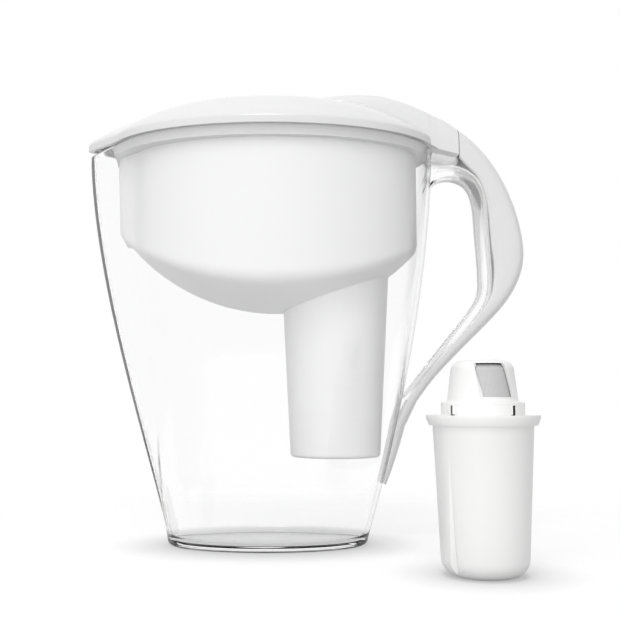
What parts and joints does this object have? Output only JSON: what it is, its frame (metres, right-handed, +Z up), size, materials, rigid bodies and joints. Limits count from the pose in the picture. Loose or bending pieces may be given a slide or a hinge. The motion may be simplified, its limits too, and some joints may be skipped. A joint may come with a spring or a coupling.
{
  "type": "water filter pitcher with flip lid",
  "caption": "Clear pitcher with a pointed spout and a covered loop handle. A funnel under its domed flip lid holds a filter cartridge; a spare cartridge stands beside it.",
  "frame": {"origin": "centre of the jug's foot, on the table", "axes": "+Z up, -X towards the spout, +X towards the handle, -Y towards the spare cartridge"},
  "size_m": [0.2468, 0.1777, 0.2518],
  "materials": {
    "clear_plastic": "clear polished",
    "white_gloss": "gloss",
    "white_satin": "satin",
    "cartridge_white": "satin",
    "screen_grey": "fine mesh",
    "granules": "loose beads"
  },
  "bodies": {
    "jug": {"jug": "clear_plastic", "handle_cover": "white_gloss"},
    "funnel": {"funnel": "white_satin"},
    "lid": {"lid": "white_gloss", "lid_tail": "white_gloss"},
    "hatch": {"hatch": "white_gloss"},
    "cartridge": {"cartridge_cup": "cartridge_white", "cartridge_cap": "cartridge_white", "cartridge_screen": "screen_grey", "cartridge_outlet_screen": "screen_grey", "granules": "granules"},
    "spare": {"spare_cup": "cartridge_white", "spare_cap": "cartridge_white", "spare_screen": "screen_grey", "spare_outlet_screen": "screen_grey", "spare_granules": "granules"}
  },
  "joints": [
    {"name": "funnel_lift", "type": "slide", "parent": "jug", "child": "funnel", "axis": [0, 0, 1], "range_m": [0, 0.18]},
    {"name": "lid_lift", "type": "slide", "parent": "funnel", "child": "lid", "axis": [0, 0, 1], "range_m": [0, 0.34]},
    {"name": "hatch_flip", "type": "hinge", "parent": "lid", "child": "hatch", "pos_m": [0.014, 0, 0.24148], "axis": [0, 1, 0], "range_deg": [0, 95]},
    {"name": "cartridge_lift", "type": "slide", "parent": "funnel", "child": "cartridge", "axis": [0, 0, 1], "range_m": [0, 0.17]},
    {"name": "spare_lift", "type": "slide", "parent": "jug", "child": "spare", "axis": [0, 0, 1], "range_m": [0, 0.12]}
  ],
  "couplings": [
    {"joint": "cartridge_lift", "follows": "lid_lift", "ratio": 0.5}
  ]
}
